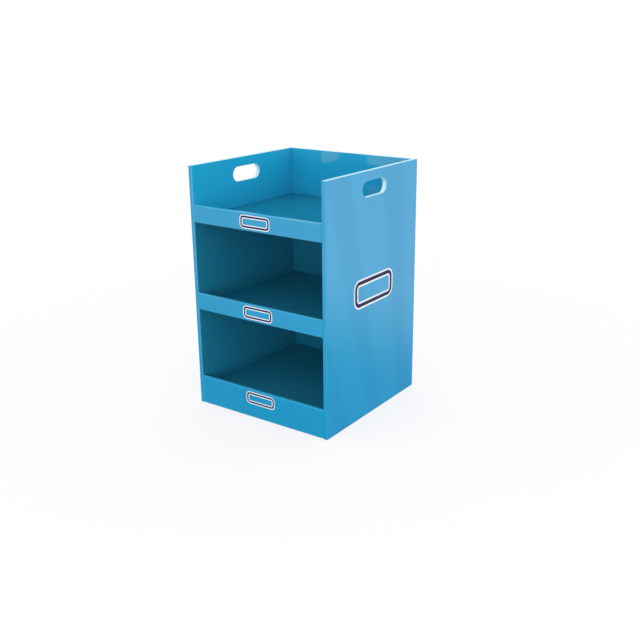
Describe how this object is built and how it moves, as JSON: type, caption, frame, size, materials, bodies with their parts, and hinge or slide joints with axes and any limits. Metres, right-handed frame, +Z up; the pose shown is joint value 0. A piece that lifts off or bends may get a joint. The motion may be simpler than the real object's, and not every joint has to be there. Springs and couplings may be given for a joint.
{
  "type": "display stand",
  "caption": "Tiered open display stand of folded corrugated board, with a front lip on each shelf, an open-topped bin and a hand hole in each side wall.",
  "frame": {"origin": "on the floor, at the middle of the footprint", "axes": "+Z up along the walls, -Y out of the open front, +X to the right of someone facing the front"},
  "size_m": [0.38, 0.38, 0.58],
  "materials": {
    "printed_board": "satin",
    "bare_board": "matte"
  },
  "bodies": {
    "root": {"body_wrap": "printed_board", "back_liner": "printed_board", "top_shelf": "printed_board", "middle_shelf": "printed_board", "bottom_shelf": "printed_board", "cross_rib": "bare_board", "left_rib": "bare_board", "right_rib": "bare_board"}
  },
  "joints": []
}
